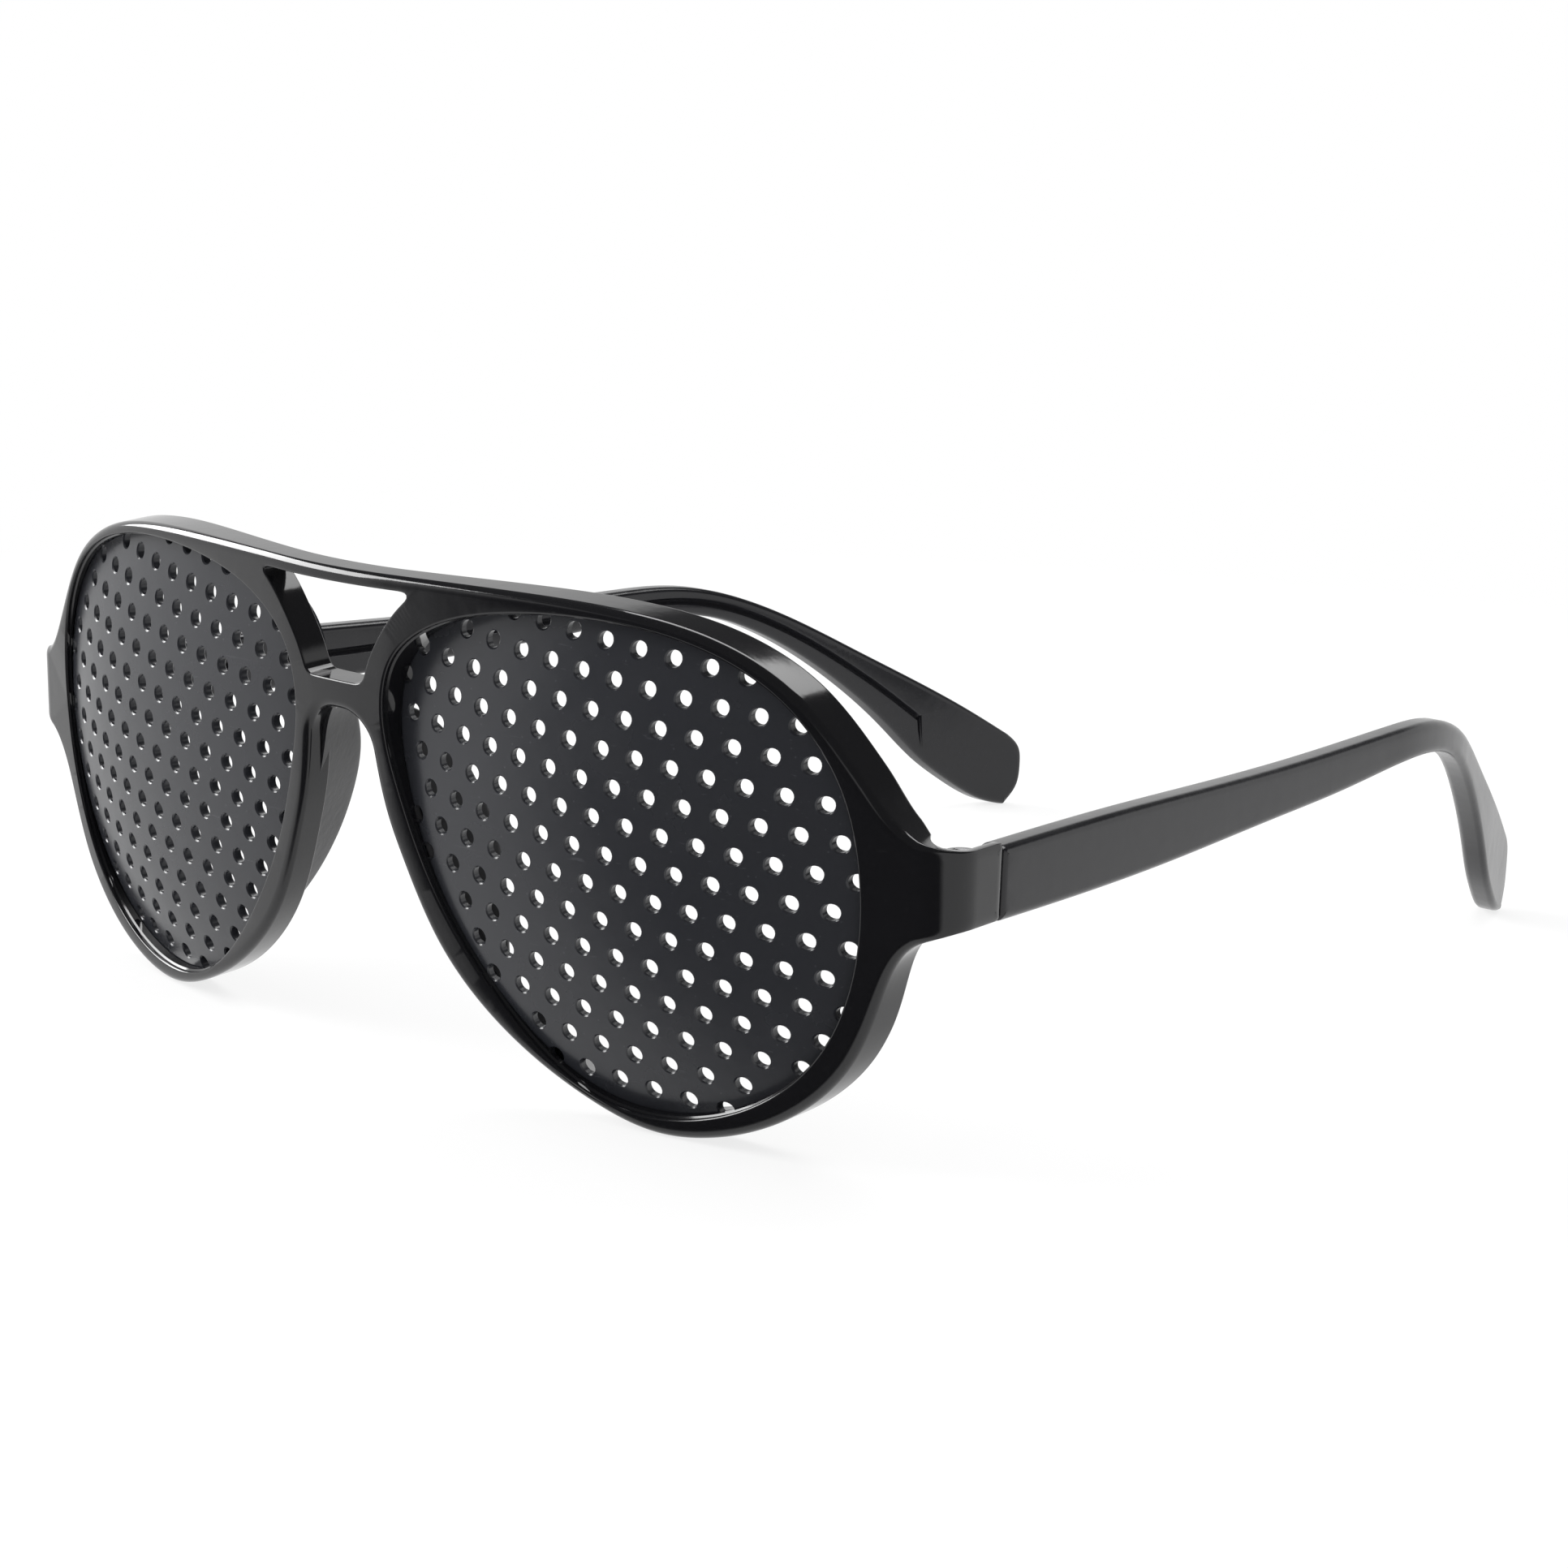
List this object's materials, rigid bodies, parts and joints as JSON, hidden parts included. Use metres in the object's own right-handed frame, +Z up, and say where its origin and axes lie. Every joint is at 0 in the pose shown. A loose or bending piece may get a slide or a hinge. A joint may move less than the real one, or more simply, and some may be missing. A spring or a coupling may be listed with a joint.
{
  "type": "pinhole glasses",
  "caption": "Aviator-shaped glasses with a moulded front, domed black plates pierced by small holes in place of lenses, moulded nose pads and folding temples",
  "frame": {"origin": "on the surface the glasses stand on, under the middle of their footprint", "axes": "X to the wearer's left, Y from the face of the glasses back along the open temples, Z up"},
  "size_m": [0.141, 0.167, 0.0546],
  "materials": {
    "frame_plastic": "gloss black",
    "plate_plastic": "gloss black",
    "temple_plastic": "satin black",
    "screw_steel": "plain steel"
  },
  "bodies": {
    "front": {"front_frame": "frame_plastic", "left_pinhole_plate": "plate_plastic", "right_pinhole_plate": "plate_plastic", "left_hinge_screw": "screw_steel", "right_hinge_screw": "screw_steel"},
    "left_arm": {"left_temple": "temple_plastic"},
    "right_arm": {"right_temple": "temple_plastic"}
  },
  "joints": [
    {"name": "left_temple_hinge", "type": "hinge", "parent": "front", "child": "left_arm", "pos_m": [0.0666, -0.06064, 0.02985], "axis": [0, 0, 1], "range_deg": [0, 80]},
    {"name": "right_temple_hinge", "type": "hinge", "parent": "front", "child": "right_arm", "pos_m": [-0.0666, -0.06064, 0.02985], "axis": [0, 0, -1], "range_deg": [0, 60]}
  ]
}
